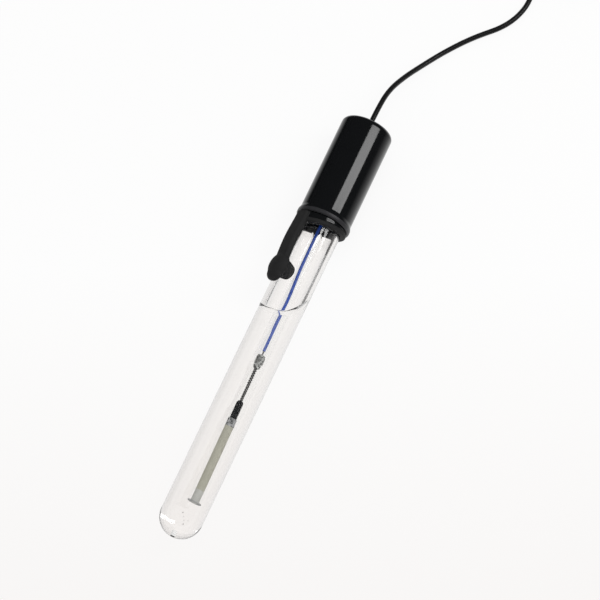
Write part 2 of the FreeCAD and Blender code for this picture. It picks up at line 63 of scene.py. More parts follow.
# Glass body, liquid and air
SOCKET_DEPTH = 13.8
GLASS_RIM = 0.3
HOLE_MARGIN = 4.0
JUNCTION_RADIUS = 0.6
BUNG_ABOVE_MOUTH = 0.2
OVERLAP = 0.02
AIR_NOSE_Z = 68.0
AIR_LEVEL = 0.4
AIR_DEPTH = 8.0
AIR_TURN = 1.1373212
AIR_ABOVE_MOUTH = 4.0
AIR_MARGIN = 0.2
AIR_OVERLAP = 0.12
# Side, radius, and how far the shape so far is then drawn out along the tube
AIR_CORNERS = ((1, 5.4, 2), (-1, 3.0, 1))
AIR_VOXEL = 0.16
AIR_SOFT_RUN = 8.0
AIR_SOFT_STEP = 0.6
AIR_SOFT_ROUNDS = 14
MENISCUS_FLAT = 0.97
GLASS_IOR = 1.5
LIQUID_IOR = 1.36

# Inner tube and what fills it
TUBE_END_Z = 10.4
TUBE_TOP_Z = 106.0
TUBE_LEAN = 0.65
BORE_LIQUID_TOP_Z = 55.5
FILL_RADIUS = 0.805
ROD_Z = 14.2
BAND_Z = 33.7
SLEEVE_Z = 36.1
SLEEVE_TOP_Z = 41.6
JOINT_Z = 51.2
JOINT_TOP_Z = 56.0
WIRE_RADIUS = 0.165
WIRE_OFFSET = 0.18
WIRE_PITCH = 2.1
WIRE_STEPS = 16
WIRE_HELD = 1.9
# Loose grains: to the side, height above the tip, and size
LOOSE_GRAINS = ((0.65, 5.8, 0.12), (1.2, 5.0, 0.07), (2.5, 4.6, 0.07), (1.6, 4.2, 0.07),
                (1.75, 3.4, 0.12))
GRAIN_BED_RADIUS = 4.82

# Cap and filler sleeve
RING_HEIGHT = 1.1
RING_FLARE = 1.2
RING_ROUND = 0.5
CAP_TOP_ROUND = 1.5
NECK_RADIUS = 7.1
FLANGE_RADIUS = 7.45
FLANGE_HALF = 0.6
FLANGE_ROUND = 0.45
FLANGE_BELOW_MOUTH = 1.6
FLANGE_TILT = 7.5
STOPPER_ANGLE = 223.0
STRAP_MIDDLE = 7.0
STRAP_THICKNESS = 1.9
STRAP_WIDTH = 4.5
STRAP_BOW = 0.42
# Head and tab: length, width, thickness, and how far below the fill hole
HEAD_OVALS = ((7.8, 7.0, 4.0, 0.0), (5.2, 5.6, 3.4, 2.2))
HEAD_CLEARANCE = 0.14
COLLAR_CLEARANCE = 0.04
SLEEVE_VOXEL = 0.12
SLEEVE_SOFT_ROUNDS = 3

# The lead's route in metres, from the cap's top to the coil
LEAD_ROUTE = [
    (0.0, 0.064974, 0.008461),
    (0.0, 0.071473, 0.00859),
    (0.0002, 0.0788, 0.0067),
    (0.0021, 0.0858, 0.0039),
    (0.0051, 0.0926, 0.0016),
    (0.009, 0.0995, 0.00075),
    (0.0146, 0.1069, 0.00075),
    (0.0215, 0.1137, 0.00075),
    (0.0246, 0.1212, 0.00075),
    (0.0243, 0.128, 0.00085),
    (0.0219, 0.1344, 0.00115),
]
COIL_MEAN_RADIUS = 0.0087
COIL_OUTER_RADIUS = 0.0117
COIL_LAYERS = 4
COIL_RINGS = 4
COIL_FLOOR = 0.00045
TURN_POINTS = 12
TAIL_RUN = 0.01
TAIL_TURN = 74.0

# Plug in millimetres, from the boot's mouth
LEAD_HOLE = 0.77
LEAD_IN_PLUG = 4.5
BOOT_END = 8.0
HANDLE_RADIUS = 3.25
HANDLE_ROUND = 0.8
HANDLE_Z = 6.0
HANDLE_TOP_Z = 24.0
GROOVE_Z = 11.0
GROOVE_STEP = 1.8
GROOVES = 5
PIN_FOOT_Z = 18.0
PIN_TOP_Z = 37.0

# Light and view, in metres
LIGHT_BOUNCES = 28
SENSOR_MILLIMETRES = 36.0
CAMERA_CLIP = (0.01, 20.0)
CAMERA_AIM = Vector((0.00346, 0.01042, 0.007))
STRIP_AIM = Vector((0.0, 0.047, 0.008))
STRIP_DISTANCE = 0.6
STRIP_RAISE = 0.006
OVERHEAD_PLACE = (0.3, 0.1, 1.1)
OVERHEAD_SIZE = 1.2
FLOOR_HALF = 3.0
FLOOR_DROP = 0.00003
# The floor's way down in the view, and where along it painted shade greys the floor's tone
FLOOR_DOWN = (0.407, -0.9135, 0.0)
FLOOR_FADE = (-0.02, 0.1)
# The floor's glow far from the view's lower edge, and near it, where painted shade makes it greyer
FLOOR_FAR = (1.0, 1.0, 1.0, 1)
FLOOR_NEAR_SHADED = (0.94, 0.92, 0.91, 1)
FLOOR_THROUGH_TINT = (1.0, 0.972, 0.952, 1)
# The band that plain reflections see bright: it fades in up to the left, and out past the right
BAND_LEFT = (-0.055, -0.008)
BAND_RIGHT = 0.017
# Light through the glass sees the floor at this share of the band's level plus this base
FLOOR_THROUGH = (0.3, 0.72)
FLOOR_GLOW = 0.88
# Ceiling in plain reflections, and room through the glass: dim and pale levels, the crossings
# after which it is pale, and the heights between which it turns from pale to dim
CEILING = (0.03, 0.012)
ROOM_THROUGH = (0.2, 0.85)
ROOM_CROSSINGS = (4.5, 5.5)
ROOM_HEIGHTS = (0.1, 0.3)


# ---------- Settings ----------

def number_setting(name, description, default, **kind):
    return bpy.props.FloatProperty(name=name, description=description, default=default, **kind)


def length_setting(name, description, default):
    return number_setting(name, description, default, unit="LENGTH")


def colour_setting(name, description, default):
    return bpy.props.FloatVectorProperty(
        name=name, description=description, size=3, subtype="COLOR", min=0.0, max=1.0,
        default=default)


class ElectrodeSizes(bpy.types.PropertyGroup):
    """Sizes of the electrode's main pieces."""

    body_radius: length_setting("Body radius", "Outside radius of the glass body", 0.006)
    body_wall: length_setting("Body wall", "Thickness of the glass", 0.001)
    visible_glass: length_setting("Visible glass", "Length of glass below the cap", 0.0982)
    tube_radius: length_setting("Inner tube radius", "Outside radius of the inner tube", 0.0015)
    tube_wall: length_setting("Inner tube wall", "Thickness of the inner tube", 0.0007)
    cap_radius: length_setting("Cap radius", "Outside radius of the cap", 0.0075)
    cap_length: length_setting("Cap length", "Length of the cap", 0.0318)
    ring_radius: length_setting(
        "Ring radius", "Outside radius of the ring round the cap's mouth", 0.00785)
    fill_hole_height: length_setting(
        "Fill hole height", "Height of the fill hole above the tip", 0.0805)
    fill_hole_radius: length_setting("Fill hole radius", "Radius of the fill hole", 0.0026)
    lead_diameter: length_setting("Lead diameter", "Thickness of the lead", 0.0015)
    lead_length: length_setting("Lead length", "Length of the lead outside the cap", 1.02)


class ElectrodeColours(bpy.types.PropertyGroup):
    """Colours of the electrode's finishes."""

    cap: colour_setting("Cap", "Gloss black moulded cap", (0.006, 0.0065, 0.0072))
    rubber: colour_setting("Rubber", "Filler sleeve", (0.0205, 0.0205, 0.021))
    bung: colour_setting("Bung", "Sealing bung in the neck", (0.028, 0.028, 0.03))
    jacket: colour_setting("Lead jacket", "Outer lead", (0.0085, 0.0085, 0.009))
    insulation: colour_setting("Wire insulation", "Inner lead", (0.017, 0.073, 0.42))
    paste: colour_setting("Paste", "Element column", (0.46, 0.445, 0.365))
    band: colour_setting("Dark paste", "Contact band", (0.19, 0.19, 0.19))
    fibre: colour_setting("Fibre", "Plug in the inner tube's end", (0.53, 0.525, 0.49))
    seal: colour_setting("Seal", "Bullet-topped sleeve", (0.006, 0.006, 0.007))
    solder: colour_setting("Solder", "Joint in the inner tube", (0.24, 0.24, 0.23))
    copper: colour_setting("Copper", "Bare conductor", (0.72, 0.42, 0.27))
    pin: colour_setting("Pin", "Plated contact pin", (0.75, 0.74, 0.71))
    tie: colour_setting("Tie", "Flat ties round the coil", (0.03, 0.03, 0.032))
    resin: colour_setting("Resin", "Potting in the cap", (0.012, 0.011, 0.01))
    floor: colour_setting("Floor", "Plain pale floor", (0.93, 0.925, 0.92))


class ElectrodeStage(bpy.types.PropertyGroup):
    """Light and view."""

    camera_elevation: number_setting(
        "Camera elevation", "Angle of the view above the floor", math.radians(67.24),
        subtype="ANGLE")
    camera_turn: number_setting(
        "Camera turn", "Turn of the view about the vertical", math.radians(24.01),
        subtype="ANGLE")
    camera_distance: length_setting("Camera distance", "Distance to the object", 0.9)
    camera_lens: number_setting("Lens", "Focal length", 198.1, unit="CAMERA")
    ambient: number_setting("Ambient", "Strength of the room's even light", 0.62, min=0.0)
    strip_turn: number_setting(
        "Strip turn", "Degrees round the electrode from the view to the strip light", 28.2)
    strip_width: length_setting(
        "Strip width", "Size of the strip light round the electrode", 0.39)
    strip_length: length_setting(
        "Strip length", "Size of the strip light along the electrode", 0.066)
    strip_power: number_setting("Strip power", "Power of the strip light", 0.43, unit="POWER")
    overhead_power: number_setting("Overhead power", "Power of the broad light", 4.0,
                                   unit="POWER")


def sizes():
    return bpy.context.scene.electrode_sizes


def colours():
    return bpy.context.scene.electrode_colours


def mm(length):
    return length / MILLIMETRE


def cap_mouth():
    return mm(sizes().visible_glass)


def glass_outside():
    return mm(sizes().body_radius)


def glass_inside():
    return mm(sizes().body_radius) - mm(sizes().body_wall)


# ---------- Places ----------

def laid():
    """From the upright model in millimetres to the piece's place on the floor."""
    body = glass_outside()
    contact = cap_mouth() + (RING_HEIGHT + RING_ROUND) / 2
    tilt = math.asin((mm(sizes().ring_radius) - body) / (contact - body))
    height = body - body * math.sin(tilt)
    length = mm(sizes().visible_glass + sizes().cap_length)
    lying = Matrix.Rotation(tilt - math.pi / 2, 4, "X")
    return Matrix.Scale(MILLIMETRE, 4) @ (Matrix.Translation((0, -length / 2, height)) @ lying)


def leaning():
    """The inner tube's lean about the bung's lower face."""
    pivot = Matrix.Translation((0, 0, cap_mouth() + BUNG_ABOVE_MOUTH))
    return pivot @ Matrix.Rotation(math.radians(-TUBE_LEAN), 4, "Y") @ pivot.inverted()


def stopper_side():
    """From the +X side to the side of the fill hole."""
    return Matrix.Rotation(math.radians(STOPPER_ANGLE), 4, "Z")


def coil_reach():
    """How far ahead of the coil's centre the outermost turn crosses the lead's line."""
    return math.sqrt(COIL_OUTER_RADIUS ** 2 - COIL_MEAN_RADIUS ** 2)


def coil_frame():
    """Centre of the coil, the heading at which the lead meets it, and the way across."""
    end = Vector(LEAD_ROUTE[-1])
    heading = end - Vector(LEAD_ROUTE[-2])
    heading.z = 0
    heading.normalize()
    across = Vector((heading.y, -heading.x, 0))
    centre = end + heading * coil_reach() + across * COIL_MEAN_RADIUS
    centre.z = 0
    return centre, heading, across


def coil_route():
    """The coil's turns, side by side and layer on layer, and three quarters of one more."""
    diameter = sizes().lead_diameter
    centre, heading, across = coil_frame()
    inside = math.cos(math.pi / TURN_POINTS)
    turns = COIL_LAYERS * COIL_RINGS
    route = []
    for index in range(TURN_POINTS * turns + TURN_POINTS * 3 // 4 + 1):
        turn = min(index // TURN_POINTS, turns - 1)
        layer, step = divmod(turn, COIL_RINGS)
        ring = step if layer % 2 == 0 else COIL_RINGS - 1 - step
        radius = (COIL_OUTER_RADIUS - diameter / 2 - ring * diameter) / inside
        angle = 2 * math.pi * index / TURN_POINTS
        spot = centre + radius * (heading * math.sin(angle) - across * math.cos(angle))
        spot.z = COIL_FLOOR + diameter / 2 + layer * diameter
        route.append(spot)
    return route


def tail_route():
    """From the coil's top layer down to the plug."""
    centre, heading, across = coil_frame()
    radius = sizes().lead_diameter / 2
    start = centre - heading * COIL_MEAN_RADIUS - across * coil_reach()
    bend = start - across * TAIL_RUN
    plug_heading = Matrix.Rotation(math.radians(-TAIL_TURN), 3, "Z") @ -across
    end = bend + plug_heading * TAIL_RUN
    start.z = COIL_FLOOR + COIL_LAYERS * sizes().lead_diameter - radius
    bend.z = end.z = HANDLE_RADIUS * MILLIMETRE
    return start, bend, end


def at_plug():
    """From a plug piece built along +Z in millimetres to its place on the lead's end."""
    _, bend, end = tail_route()
    heading = (end - bend).normalized()
    mouth = end - heading * LEAD_IN_PLUG * MILLIMETRE
    turn = heading.to_track_quat("Z", "Y").to_matrix().to_4x4()
    return Matrix.Translation(mouth) @ turn @ Matrix.Scale(MILLIMETRE, 4)


# ---------- Modelling ----------

def outline(start, moves, closed=False):
    """Draw a wire in the (radius, height) plane.

    A move of two numbers is a straight line to (r, z). A move of three is an arc about (r, z)
    that turns by the third number in degrees, anticlockwise when positive.
    """
    bm = bmesh.new()
    first = last = bm.verts.new((start[0], 0, start[1]))
    for move in moves:
        if len(move) == 2:
            last = bmesh.ops.extrude_vert_indiv(bm, verts=[last])["verts"][0]
            last.co = (move[0], 0, move[1])
        else:
            swept = bmesh.ops.spin(
                bm, geom=[last], cent=(move[0], 0, move[1]), axis=(0, 1, 0),
                angle=math.radians(-move[2]), steps=ARC_STEPS)
            last = [item for item in swept["geom_last"] if isinstance(item, bmesh.types.BMVert)][0]
    if closed:
        bm.edges.new((last, first))
    return bm


def lathe(start, moves, closed=False, steps=LATHE_STEPS):
    """Turn an outline about the Z axis."""
    bm = outline(start, moves, closed)
    bmesh.ops.spin(
        bm, geom=bm.verts[:] + bm.edges[:], cent=(0, 0, 0), axis=(0, 0, 1),
        angle=2 * math.pi, steps=steps, use_merge=True)
    bmesh.ops.remove_doubles(bm, verts=bm.verts, dist=1e-4)
    bmesh.ops.recalc_face_normals(bm, faces=bm.faces)
    return bm


def block(centre, size):
    bm = bmesh.new()
    bmesh.ops.create_cube(bm, size=1.0)
    bm.transform(Matrix.Translation(centre) @ Matrix.Diagonal((*size, 1)))
    return bm


def round_edges(bm, edges, width, segments):
    bmesh.ops.bevel(bm, geom=edges, offset=width, segments=segments, profile=0.5,
                    affect="EDGES", material=-1)


def add_object(name, data):
    made = bpy.data.objects.new(name, data)
    bpy.context.scene.collection.objects.link(made)
    return made


def piece(bm, name, place=None, material=None, sharp=35.0):
    """Make an object of a bmesh, moved to its place, smooth except at sharp corners."""
    if place is not None:
        bm.transform(place)
    mesh = bpy.data.meshes.new(name)
    bm.to_mesh(mesh)
    bm.free()
    made = add_object(name, mesh)
    if material is not None:
        mesh.materials.append(material)
    smooth(made, sharp)
    return made


def smooth(made, sharp):
    made.data.shade_smooth()
    made.data.set_sharp_from_angle(angle=math.radians(sharp))


def bake_modifiers(made):
    graph = bpy.context.evaluated_depsgraph_get()
    mesh = bpy.data.meshes.new_from_object(made.evaluated_get(graph))
    made.modifiers.clear()
    old = made.data
    made.data = mesh
    mesh.name = old.name
    bpy.data.meshes.remove(old)


def carve(made, cutter, operation="DIFFERENCE"):
    """Cut with another object, which is then gone."""
    step = made.modifiers.new("carve", "BOOLEAN")
    step.operation = operation
    step.solver = "EXACT"
    step.object = cutter
    bake_modifiers(made)
    bpy.data.objects.remove(cutter)


def one_skin(made, voxel):
    """Join what overlaps into one even skin."""
    step = made.modifiers.new("one_skin", "REMESH")
    step.mode = "VOXEL"
    step.voxel_size = voxel
    bake_modifiers(made)


def relax(made, heights):
    """Smooth the mesh once for each height, below that height."""
    soft = bmesh.new()
    soft.from_mesh(made.data)
    for height in heights:
        below = [vert for vert in soft.verts if vert.co.z < height]
        bmesh.ops.smooth_vert(soft, verts=below, factor=0.5, use_axis_x=True, use_axis_y=True,
                              use_axis_z=True)
    soft.to_mesh(made.data)
    soft.free()


def press_out(vertices, radius):
    """Move what lies nearer the axis than the radius out to it."""
    for vert in vertices:
        flat = Vector((vert.co.x, vert.co.y, 0))
        if flat.length < radius:
            flat = flat.normalized() * radius
            vert.co.x, vert.co.y = flat.x, flat.y


def place_mesh(made, place, sharp=35.0):
    made.data.transform(place)
    smooth(made, sharp)


def settle(made, slot, *nodes, body="electrode"):
    """Ride on the body and stand for the nodes. The slot is not used."""
    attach(made, body)
    if nodes:
        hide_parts(*nodes)
    return made


def unseen_by_light(made):
    """Clear pieces neither shade what they hold nor bend the soft light that falls on it."""
    made.visible_diffuse = False
    made.visible_shadow = False


# ---------- Shader nodes ----------

def node(tree, kind, inputs=None, **settings):
    """Add a node. Inputs are values, or sockets to link."""
    made = tree.nodes.new(kind)
    for key, value in settings.items():
        setattr(made, key, value)
    for key, value in (inputs or {}).items():
        if isinstance(value, bpy.types.NodeSocket):
            tree.links.new(value, made.inputs[key])
        else:
            made.inputs[key].default_value = value
    return made


def maths(tree, operation, *values, clamp=False):
    return node(tree, "ShaderNodeMath", dict(enumerate(values)), operation=operation,
                use_clamp=clamp).outputs[0]


def spread(tree, value, start, end, low=0.0, high=1.0):
    """Map the stretch from start to end onto low to high, and hold it beyond."""
    return node(tree, "ShaderNodeMapRange", {
        "Value": value, "From Min": start, "From Max": end, "To Min": low, "To Max": high}
        ).outputs["Result"]


def mix_numbers(tree, factor, first, second):
    return node(tree, "ShaderNodeMix", {"Factor": factor, 2: first, 3: second},
                data_type="FLOAT").outputs[0]


def mix_colours(tree, factor, first, second, blend="MIX"):
    return node(tree, "ShaderNodeMix", {"Factor": factor, 6: first, 7: second},
                data_type="RGBA", blend_type=blend).outputs[2]


def scaled(tree, colour, gain):
    return node(tree, "ShaderNodeVectorMath", {0: colour, "Scale": gain},
                operation="SCALE").outputs[0]


def noise(tree, place, scale, detail, **more):
    return node(tree, "ShaderNodeTexNoise", {
        "Vector": place, "Scale": scale, "Detail": detail, **more}).outputs["Fac"]


def object_place(tree):
    return node(tree, "ShaderNodeTexCoord").outputs["Object"]


def part_of(tree, vector, axis):
    return node(tree, "ShaderNodeSeparateXYZ", {0: vector}).outputs[axis]


def blank_material(name):
    made = bpy.data.materials.new(name)
    made.use_nodes = True
    made.node_tree.nodes.clear()
    return made, made.node_tree


def put_out(tree, surface):
    node(tree, "ShaderNodeOutputMaterial", {"Surface": surface})


def new_group(name, inputs, outputs):
    """A shader node group with named sockets; each is (name, socket type, default)."""
    tree = bpy.data.node_groups.new(name, "ShaderNodeTree")
    for label, kind, default in inputs:
        socket = tree.interface.new_socket(label, in_out="INPUT", socket_type=kind)
        socket.default_value = default
    for label, kind in outputs:
        tree.interface.new_socket(label, in_out="OUTPUT", socket_type=kind)
    return tree, tree.nodes.new("NodeGroupInput"), tree.nodes.new("NodeGroupOutput")


# ---------- Materials ----------

def surface_life():
    """Tone drift, uneven gloss, fine grain and dust that every worn surface shares."""
    if "surface_life" in bpy.data.node_groups:
        return bpy.data.node_groups["surface_life"]
    number, colour = "NodeSocketFloat", "NodeSocketColor"
    tree, given, result = new_group(
        "surface_life",
        [("Colour", colour, (0.5, 0.5, 0.5, 1)), ("Tone Drift", number, 0.1),
         ("Drift Scale", number, 200.0), ("Roughness", number, 0.4),
         ("Roughness Drift", number, 0.1), ("Grain Scale", number, 3000.0),
         ("Dust", number, 0.1), ("Dust Scale", number, 900.0)],
        [("Colour", colour), ("Roughness", number), ("Height", number)])
    given = given.outputs
    dust_colour = (0.32, 0.31, 0.3, 1)
    place = object_place(tree)
    drift = noise(tree, place, given["Drift Scale"], 4.0)
    centred = maths(tree, "SUBTRACT", drift, 0.5)
    gain = maths(tree, "MULTIPLY_ADD", centred, given["Tone Drift"], 1.0)
    toned = scaled(tree, given["Colour"], gain)
    grain = noise(tree, place, given["Grain Scale"], 3.0)
    spots = noise(tree, place, given["Dust Scale"], 6.0, Roughness=0.8)
    dust = maths(tree, "MULTIPLY", spread(tree, spots, 0.64, 0.76), given["Dust"])
    rough = maths(tree, "MULTIPLY_ADD", centred, given["Roughness Drift"], given["Roughness"])
    rougher = maths(tree, "MULTIPLY_ADD", dust, 0.5, rough, clamp=True)
    for label, socket in (("Colour", mix_colours(tree, dust, toned, dust_colour)),
                          ("Roughness", rougher), ("Height", grain)):
        tree.links.new(socket, result.inputs[label])
    return tree


def finish(name, colour, tone=0.2, drift=250.0, rough=0.4, uneven=0.1, grain=4000.0, dust=0.0,
           dust_scale=900.0, bump=0.2, depth=0.00002, extra=None, **sockets):
    """An opaque finish on the shared group, with plain values on the shader's own sockets."""
    made, tree = blank_material(name)
    life = node(tree, "ShaderNodeGroup", {
        "Colour": (*colour, 1), "Tone Drift": tone, "Drift Scale": drift, "Roughness": rough,
        "Roughness Drift": uneven, "Grain Scale": grain, "Dust": dust, "Dust Scale": dust_scale},
        node_tree=surface_life()).outputs
    shown, height = life["Colour"], life["Height"]
    if extra is not None:
        shown, height = extra(tree, shown, height)
    bumped = node(tree, "ShaderNodeBump", {"Strength": bump, "Distance": depth, "Height": height})
    shader = node(tree, "ShaderNodeBsdfPrincipled", {
        "Base Color": shown, "Roughness": life["Roughness"],
        "Normal": bumped.outputs["Normal"], **sockets})
    put_out(tree, shader.outputs[0])
    return made


def clear_finish(name, tint, ior, smear=0.0, lets_light=False, edge=None):
    """Clear glass or liquid: faint drawn waves, a few specks, and painted shade that darkens its
    edges as they turn from the view.
    """
    made, tree = blank_material(name)
    place = object_place(tree)
    drawn = node(tree, "ShaderNodeMapping", {"Vector": place, "Scale": (1.0, 0.08, 1.0)})
    waves = noise(tree, drawn.outputs[0], 200.0, 0.0)
    bumped = node(tree, "ShaderNodeBump", {"Strength": 0.02, "Distance": 0.00005, "Height": waves})
    spots = noise(tree, place, 1500.0, 5.0, Roughness=0.8)
    specks = spread(tree, spots, 0.72, 0.78, high=smear)
    colour = (*tint, 1)
    # Painted shade: the colour turns to the edge tint as the surface turns from the view
    if edge is not None:
        facing = node(tree, "ShaderNodeLayerWeight", {"Blend": 0.5}).outputs["Facing"]
        colour = mix_colours(tree, spread(tree, facing, 0.1, 0.8), colour, (*edge, 1))
    shader = node(tree, "ShaderNodeBsdfPrincipled", {
        "Base Color": colour, "Roughness": specks, "IOR": ior, "Transmission Weight": 1.0,
        "Normal": bumped.outputs["Normal"]})
    surface = shader.outputs[0]
    if lets_light:
        clear = node(tree, "ShaderNodeBsdfTransparent", {"Color": (0.95, 0.955, 0.955, 1)})
        lamp_ray = node(tree, "ShaderNodeLightPath").outputs["Is Shadow Ray"]
        surface = node(tree, "ShaderNodeMixShader", {
            0: lamp_ray, 1: surface, 2: clear.outputs[0]}).outputs[0]
    put_out(tree, surface)
    return made


def grainy(tree, shown, height):
    """Dark and pale grains in the paste."""
    cells = node(tree, "ShaderNodeTexVoronoi", {
        "Vector": object_place(tree), "Scale": 2500.0}).outputs
    pick = node(tree, "ShaderNodeSeparateColor", {0: cells["Color"]}).outputs[0]
    gain = spread(tree, pick, 0.0, 1.0, 0.05, 2.5)
    return scaled(tree, shown, gain), cells["Distance"]


def darker_outer_end(tree, shown, height):
    """Darken the ceramic's outer end."""
    tip = -(sizes().visible_glass + sizes().cap_length) / 2
    along = part_of(tree, object_place(tree), "Y")
    dark = spread(tree, along, tip + 0.00025, tip + 0.0004, 1.0, 0.0)
    return mix_colours(tree, dark, shown, (0.035, 0.033, 0.03, 1)), height


def paint(name, material):
    """Give a CAD node its material."""
    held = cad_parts[name]
    held.data.materials.clear()
    held.data.materials.append(material)


# ---------- Lead ----------

class MakeLead(bpy.types.Operator):
    """The outer lead, with its coil, as one cord"""

    bl_idname = "electrode.make_lead"
    bl_label = "Lead"

    def execute(self, context):
        route = [Vector(point) for point in LEAD_ROUTE] + coil_route() + list(tail_route())
        curve = bpy.data.curves.new("lead", "CURVE")
        curve.dimensions = "3D"
        curve.bevel_depth = sizes().lead_diameter / 2
        curve.bevel_resolution = 4
        curve.resolution_u = curve.render_resolution_u = 8
        curve.use_fill_caps = True
        spline = curve.splines.new("NURBS")
        spline.points.add(len(route) - 1)
        for point, spot in zip(spline.points, route):
            point.co = (*spot, 1)
        spline.order_u = 3
        spline.use_endpoint_u = True
        spline.use_smooth = True
        curve.materials.append(finish(
            "lead_jacket", colours().jacket, tone=0.25, rough=0.36, uneven=0.15, dust=0.12,
            grain=6000.0, bump=0.15))
        settle(add_object("lead", curve), "cable_black", "lead_cable", "lead_coil", "lead_tail")
        return {"FINISHED"}


class MakePlug(bpy.types.Operator):
    """Boot, handle and contact pin on the lead's far end"""

    bl_idname = "electrode.make_plug"
    bl_label = "Plug"

    def execute(self, context):
        place = at_plug()
        soft = finish("plug_boot_rubber", colours().rubber, rough=0.55, dust=0.1, bump=0.3)
        boot = lathe((LEAD_HOLE, 0.0), [
            (1.1, 0.0), (1.1, 0.15, 90), (1.85, 5.6), (1.9, HANDLE_Z), (1.9, BOOT_END),
            (LEAD_HOLE, BOOT_END)], closed=True)
        settle(piece(boot, "plug_sleeve", place, soft), "black_rubber", "plug_boot")
        hard = finish("plug_plastic", colours().cap, rough=0.3, uneven=0.15, dust=0.1, bump=0.25)
        grooves = []
        for index in range(GROOVES):
            low = GROOVE_Z + GROOVE_STEP * index
            grooves += [(HANDLE_RADIUS, low), (3.05, low + 0.12), (2.95, low + 0.3),
                        (3.05, low + 0.68), (HANDLE_RADIUS, low + 0.8)]
        rim = HANDLE_RADIUS - HANDLE_ROUND
        shoulder = HANDLE_TOP_Z - HANDLE_ROUND
        handle = lathe((1.92, HANDLE_Z), [
            (rim, HANDLE_Z), (rim, HANDLE_Z + HANDLE_ROUND, 90), *grooves,
            (HANDLE_RADIUS, shoulder), (rim, shoulder, 90), (1.32, HANDLE_TOP_Z),
            (1.32, PIN_FOOT_Z), (1.92, PIN_FOOT_Z)], closed=True)
        settle(piece(handle, "plug_grip", place, hard), "black_plastic", "plug_handle")
        metal = finish("plated_metal", colours().pin, tone=0.1, rough=0.16, uneven=0.12, dust=0.05,
                       Metallic=1.0)
        pin = lathe((0.0, PIN_FOOT_Z), [
            (1.3, PIN_FOOT_Z), (1.3, HANDLE_TOP_Z), (1.0, HANDLE_TOP_Z), (1.0, PIN_TOP_Z - 0.6),
            (0.4, PIN_TOP_Z - 0.6, 90), (0.0, PIN_TOP_Z)])
        settle(piece(pin, "contact_pin", place, metal), "plated_pin", "plug_pin")
        return {"FINISHED"}


class MakeTies(bpy.types.Operator):
    """The two flat ties round the coil"""

    bl_idname = "electrode.make_ties"
    bl_label = "Coil ties"

    def execute(self, context):
        paint("coil_ties", finish("tie_fabric", colours().tie, tone=0.5, drift=900.0, rough=0.85,
                                  grain=5000.0, bump=0.8, depth=0.00005))
        return {"FINISHED"}


class DeclareLead(bpy.types.Operator):
    """An empty step for the lead's facts: it changes nothing"""

    bl_idname = "electrode.declare_lead"
    bl_label = "Lead facts"

    def execute(self, context):
        return {"FINISHED"}


# ---------- Glass and liquid ----------

class MakeGlass(bpy.types.Operator):
    """The round-ended glass body with its fill hole"""

    bl_idname = "electrode.make_glass"
    bl_label = "Glass body"

    def execute(self, context):
        outer, inner = glass_outside(), glass_inside()
        top = cap_mouth() + SOCKET_DEPTH
        below_rim = top - GLASS_RIM
        hole = JUNCTION_RADIUS - 0.01
        low_turn = 90 - math.degrees(math.asin(hole / outer))
        high_turn = 90 - math.degrees(math.asin(hole / inner))
        body = lathe((hole, outer - math.sqrt(outer ** 2 - hole ** 2)), [
            (0.0, outer, low_turn), (outer, outer + 0.3), (outer, below_rim - 0.3),
            (outer, below_rim), (outer - GLASS_RIM, below_rim, 90), (inner + GLASS_RIM, top),
            (inner + GLASS_RIM, below_rim, 90), (inner, below_rim - 0.3), (inner, outer + 0.3),
            (inner, outer), (0.0, outer, -high_turn)], closed=True)
        height = mm(sizes().fill_hole_height)
        for cut in (height - HOLE_MARGIN, height + HOLE_MARGIN):
            bmesh.ops.bisect_plane(
                body, geom=body.verts[:] + body.edges[:] + body.faces[:],
                plane_co=(0, 0, cut), plane_no=(0, 0, 1))
        glass = piece(body, "glass_tube")
        drill = bmesh.new()
        radius = mm(sizes().fill_hole_radius)
        bmesh.ops.create_cone(drill, cap_ends=True, segments=48, radius1=radius, radius2=radius,
                              depth=2 * outer)
        across = Matrix.Translation((outer, 0, height)) @ Matrix.Rotation(math.pi / 2, 4, "Y")
        carve(glass, piece(drill, "drill", stopper_side() @ across))
        # The outer glass takes painted shade at its edges
        glass.data.materials.append(clear_finish(
            "laboratory_glass", (0.99, 0.99, 0.99), GLASS_IOR, smear=0.25, lets_light=True,
            edge=(0.62, 0.63, 0.64)))
        glass.data.materials.append(clear_finish(
            "glass_bore", (0.998, 0.998, 0.998), GLASS_IOR, lets_light=True))
        for face in glass.data.polygons:
            from_axis = (face.center - Vector((0, 0, max(outer, face.center.z)))).length
            face.material_index = 1 if from_axis < outer - 0.2 else 0
        place_mesh(glass, laid())
        glass.visible_diffuse = False
        settle(glass, "clear_glass", "glass_body")
        return {"FINISHED"}


def air_pocket(level):
    """The air over the liquid, with a round nose whose edges are soft where the liquid climbs."""
    bore = glass_inside()
    low, high = AIR_NOSE_Z, cap_mouth() + AIR_ABOVE_MOUTH
    # Half the length, because the first corner is drawn out to twice its length
    air = block((0, (AIR_LEVEL - AIR_DEPTH) / 2, (high - low) / 4),
                (2 * (bore + AIR_MARGIN), AIR_DEPTH + AIR_LEVEL, (high - low) / 2))
    for side, radius, stretch in AIR_CORNERS:
        corner = [edge for edge in air.edges
                  if all(abs(v.co.z) < 1e-4 and v.co.x * side > bore for v in edge.verts)]
        round_edges(air, corner, radius, 16)
        air.transform(Matrix.Diagonal((1, 1, stretch, 1)))
    air.transform(Matrix.Translation((0, 0, low)))
    pocket = piece(air, "air", level)
    wide = bore + AIR_OVERLAP
    within = lathe((0.0, low - 8), [(wide, low - 8), (wide, high + 2), (0.0, high + 2)])
    carve(pocket, piece(within, "bore"), "INTERSECT")
    one_skin(pocket, AIR_VOXEL)
    relax(pocket, [low + AIR_SOFT_RUN + AIR_SOFT_STEP * turn for turn in range(AIR_SOFT_ROUNDS)])
    return pocket


